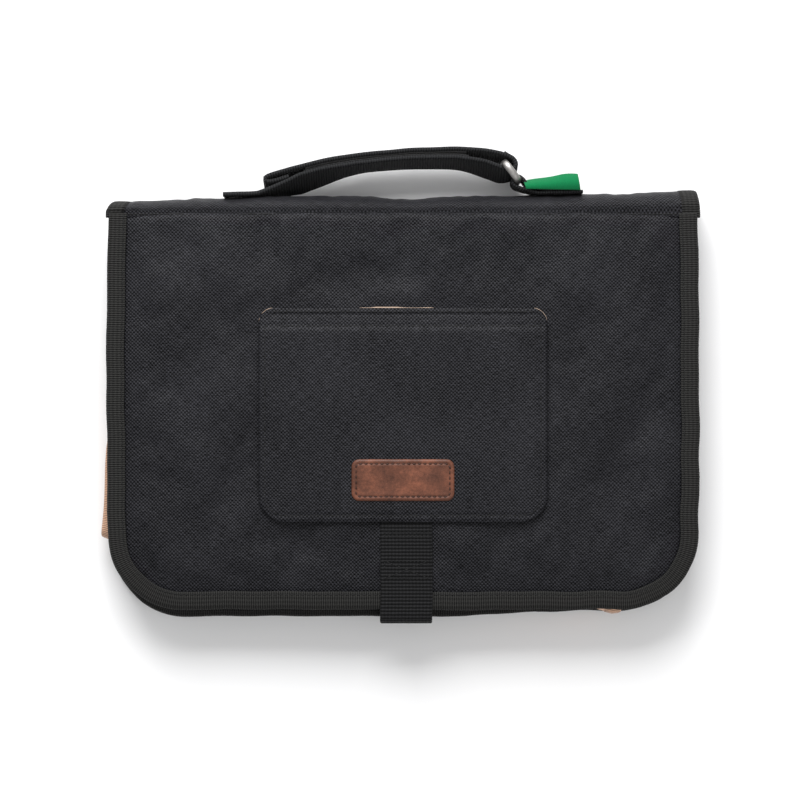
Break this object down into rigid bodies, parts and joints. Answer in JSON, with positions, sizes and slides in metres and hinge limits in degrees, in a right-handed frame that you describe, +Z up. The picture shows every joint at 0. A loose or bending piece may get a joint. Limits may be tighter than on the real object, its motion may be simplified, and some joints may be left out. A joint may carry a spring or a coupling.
{
  "type": "changing clutch bag",
  "caption": "Fold-up padded nappy-changing clutch with wipes flap, closure strap, opening webbing handle and a folded mat inside.",
  "frame": {"origin": "middle of the back cover's outer face, on which the bag lies", "axes": "+X along the width, +Y towards the spine and handle, +Z up through the thickness"},
  "size_m": [0.3451, 0.2757, 0.0386],
  "materials": {
    "outer_cloth": "fine woven polyester, matt",
    "lining_cloth": "smooth woven lining",
    "padding": "foam padding",
    "binding_tape": "ribbed grosgrain",
    "webbing": "ribbed webbing",
    "hook_tape": "hook and loop tape",
    "elastic": "woven elastic",
    "mat_cloth": "peach wipe-clean cloth",
    "mat_tape": "bias tape",
    "patch_leather": "brown leather, satin",
    "label_cloth": "woven satin label",
    "ring_metal": "satin grey metal",
    "zip_metal": "dark plated metal",
    "zip_plastic": "nylon coil"
  },
  "bodies": {
    "back": {"back_outer": "outer_cloth", "back_foam": "padding", "back_lining": "lining_cloth", "back_binding": "binding_tape", "spine_outer": "outer_cloth", "spine_lining": "lining_cloth", "handle_anchor_left": "webbing", "handle_anchor_right": "webbing", "side_label": "label_cloth", "mat_band": "elastic", "closure_landing_tab": "webbing", "closure_loop_pad": "hook_tape"},
    "front_cover": {"front_outer": "outer_cloth", "front_foam": "padding", "front_lining": "lining_cloth", "front_binding": "binding_tape", "window_trim": "binding_tape", "flap_header": "outer_cloth", "flap_loop_pads": "hook_tape", "closure_strap_base": "webbing", "wipes_pocket": "lining_cloth", "zip_tape_lower": "lining_cloth", "zip_tape_upper": "lining_cloth", "zip_coil": "zip_plastic", "zip_stops": "zip_metal"},
    "wipes_flap": {"flap_outer": "outer_cloth", "flap_lining": "lining_cloth", "flap_hook_pads": "hook_tape", "leather_patch": "patch_leather"},
    "closure_strap": {"closure_strap_tail": "webbing", "closure_hook_pad": "hook_tape"},
    "handle": {"handle_strap": "webbing", "handle_loop_tape": "hook_tape", "handle_ring": "ring_metal", "ring_loop": "webbing"},
    "handle_fastening": {"handle_tail": "webbing", "handle_hook_tape": "hook_tape"},
    "mat": {"changing_mat": "mat_cloth", "mat_tape_left": "mat_tape", "mat_tape_right": "mat_tape"},
    "slider": {"zip_slider": "zip_metal"},
    "pull": {"zip_pull": "zip_metal"}
  },
  "joints": [
    {"name": "cover_open", "type": "hinge", "parent": "back", "child": "front_cover", "pos_m": [0, 0.112, 0.034], "axis": [-1, 0, 0], "range_deg": [0, 180]},
    {"name": "flap_lift", "type": "hinge", "parent": "front_cover", "child": "wipes_flap", "pos_m": [0, 0.0467, 0.0374], "axis": [1, 0, 0], "range_deg": [-150, 0]},
    {"name": "strap_peel", "type": "hinge", "parent": "front_cover", "child": "closure_strap", "pos_m": [0.002, -0.1002, 0.0358], "axis": [1, 0, 0], "range_deg": [-150, 0]},
    {"name": "handle_swing", "type": "hinge", "parent": "back", "child": "handle", "pos_m": [0, 0.1235, 0.0168], "axis": [-1, 0, 0], "range_deg": [-40, 8]},
    {"name": "handle_tail_peel", "type": "hinge", "parent": "handle", "child": "handle_fastening", "pos_m": [0.0588, 0.1418, 0.0168], "axis": [0, 0, 1], "range_deg": [-110, 0]},
    {"name": "mat_slide", "type": "slide", "parent": "back", "child": "mat", "axis": [-0.9903, 0.1392, 0], "range_m": [0, 0.35]},
    {"name": "zip_slide", "type": "slide", "parent": "front_cover", "child": "slider", "axis": [-1, 0, 0], "range_m": [0, 0.262]},
    {"name": "zip_pull_swing", "type": "hinge", "parent": "slider", "child": "pull", "pos_m": [0.135, 0.086, 0.026], "axis": [0, -1, 0], "range_deg": [0, 180]}
  ]
}
